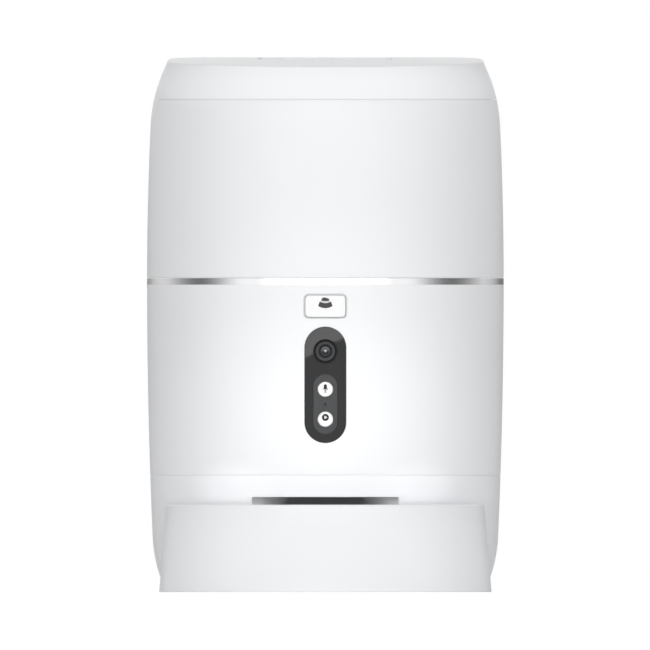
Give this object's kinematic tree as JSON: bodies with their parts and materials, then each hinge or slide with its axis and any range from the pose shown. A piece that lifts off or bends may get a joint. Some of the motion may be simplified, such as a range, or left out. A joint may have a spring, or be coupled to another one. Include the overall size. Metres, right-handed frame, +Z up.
{
  "type": "automatic pet feeder",
  "caption": "Barrel-shaped automatic dry-food feeder with a lift-off hopper lid, bright trim band, front camera and talk panel, powered rotor dispenser and pull-out bowl tray.",
  "frame": {"origin": "middle of the whole outline on the floor", "axes": "+Z up, -Y to the front where the bowl and the camera are, +X to the right seen from the back"},
  "size_m": [0.2354, 0.3066, 0.3529],
  "materials": {
    "white_shell": "smooth white moulding",
    "grey_plastic": "fine grain",
    "chute_grey": "plain moulding",
    "inner_white": "plain moulding",
    "chrome_trim": "bright plated",
    "frame_grey": "satin",
    "button_white": "smooth",
    "panel_dark": "polished",
    "panel_grey": "satin",
    "lens_black": "polished",
    "lens_glass": "coated",
    "soft_grey": "soft silicone",
    "foot_rubber": "matt",
    "rotor_grey": "plain moulding",
    "gear_natural": "natural",
    "bush_natural": "natural",
    "steel": "plain",
    "bowl_steel": "brushed",
    "board_green": "solder mask",
    "black_plastic": "moulded"
  },
  "bodies": {
    "body": {"base_shell": "white_shell", "bottom_plate": "grey_plastic", "rubber_feet": "foot_rubber", "case_screws": "steel", "battery_box": "grey_plastic", "battery_contacts": "steel", "food_chute": "chute_grey", "speaker": "black_plastic", "dc_jack": "black_plastic", "main_housing": "white_shell", "main_board": "board_green", "trim_band": "chrome_trim", "hopper_shell": "white_shell", "hopper_funnel": "inner_white", "rotor_housing": "inner_white", "drop_guard": "inner_white", "upper_bush": "bush_natural", "gear_frame": "inner_white", "lower_bush": "bush_natural", "gear_motor": "steel", "motor_screws": "steel", "feed_bezel": "frame_grey", "feed_board": "board_green", "feed_switch": "black_plastic", "camera_panel": "panel_dark", "control_plate": "panel_grey", "lens_ring": "lens_black", "lens_barrel": "lens_black", "lens_glass": "lens_glass", "camera_board": "board_green", "button_board": "board_green", "button_switches": "black_plastic", "microphone": "steel"},
    "lid": {"lid": "white_shell", "lid_seal": "soft_grey", "desiccant_box": "inner_white"},
    "feed_button": {"feed_button": "button_white"},
    "record_button": {"record_button": "button_white"},
    "play_button": {"play_button": "button_white"},
    "rotor": {"rotor": "rotor_grey", "rotor_tips": "soft_grey", "agitator": "rotor_grey", "rotor_shaft": "steel", "rotor_gear": "gear_natural"},
    "pinion": {"motor_shaft": "steel", "motor_pinion": "gear_natural"},
    "tray": {"tray": "white_shell"},
    "bowl": {"bowl": "bowl_steel"},
    "battery_cover": {"battery_cover": "grey_plastic"}
  },
  "joints": [
    {"name": "lid_lift", "type": "slide", "parent": "body", "child": "lid", "axis": [0, 0, 1], "range_m": [0, 0.12]},
    {"name": "feed_press", "type": "slide", "parent": "body", "child": "feed_button", "axis": [0, 1, 0], "range_m": [0, 0.0012], "stiffness_N_per_m": 900},
    {"name": "record_press", "type": "slide", "parent": "body", "child": "record_button", "axis": [0, 1, 0], "range_m": [0, 0.0008], "stiffness_N_per_m": 700},
    {"name": "play_press", "type": "slide", "parent": "body", "child": "play_button", "axis": [0, 1, 0], "range_m": [0, 0.0008], "stiffness_N_per_m": 700},
    {"name": "rotor_spin", "type": "hinge", "parent": "body", "child": "rotor", "pos_m": [0, 0.07135, 0.148], "axis": [0, 0, 1], "continuous": true},
    {"name": "pinion_spin", "type": "hinge", "parent": "body", "child": "pinion", "pos_m": [0, 0.1059, 0.115], "axis": [0, 0, 1], "continuous": true},
    {"name": "tray_slide", "type": "slide", "parent": "body", "child": "tray", "axis": [0, -1, 0], "range_m": [0, 0.1]},
    {"name": "bowl_lift", "type": "slide", "parent": "tray", "child": "bowl", "axis": [0, 0, 1], "range_m": [0, 0.07]},
    {"name": "battery_cover_slide", "type": "slide", "parent": "body", "child": "battery_cover", "axis": [0, 1, 0], "range_m": [0, 0.008]}
  ],
  "couplings": [
    {"joint": "pinion_spin", "follows": "rotor_spin", "ratio": -2.2857}
  ]
}
